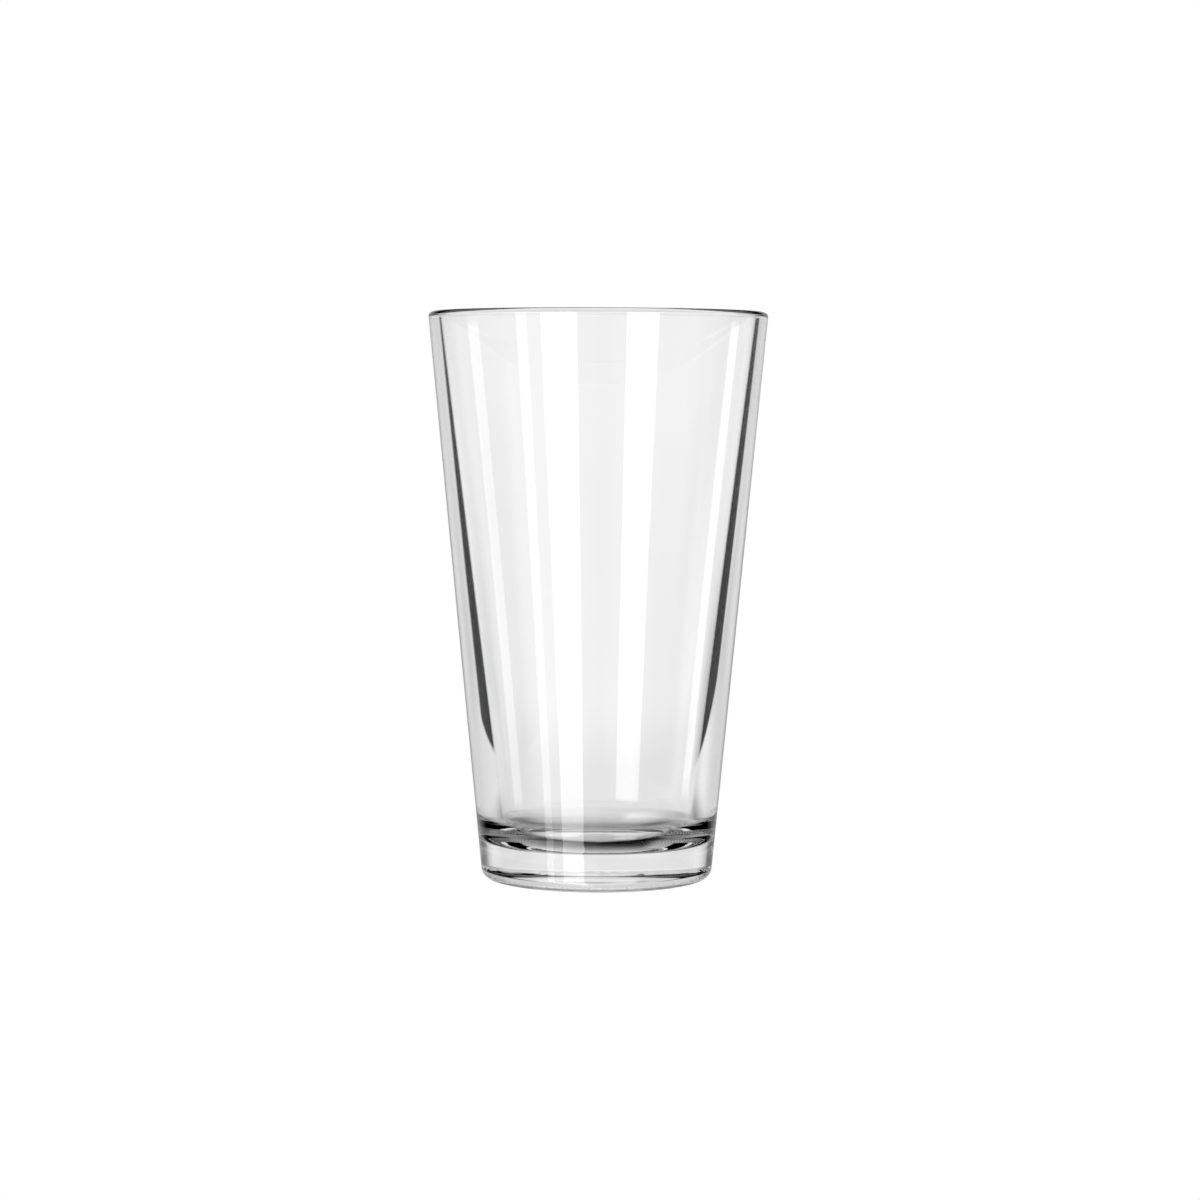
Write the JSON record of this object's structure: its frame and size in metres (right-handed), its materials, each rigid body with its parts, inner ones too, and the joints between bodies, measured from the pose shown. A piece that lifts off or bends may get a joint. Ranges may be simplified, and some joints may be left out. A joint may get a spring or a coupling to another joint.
{
  "type": "mixing glass",
  "caption": "Straight-sided, flared bar mixing glass in clear glass, with a rounded lip and a thick base, for stirring, shaking and serving drinks.",
  "frame": {"origin": "centre of the foot, on the counter that the glass stands on", "axes": "+Z is the glass's axis, up out of its mouth; the glass is turned about +Z, so +X and +Y are alike"},
  "size_m": [0.0888, 0.0888, 0.1492],
  "materials": {
    "clear_glass": "clear, colourless, fire-polished soda-lime glass with a smooth gloss"
  },
  "bodies": {
    "root": {"glass_body": "clear_glass"}
  },
  "joints": []
}
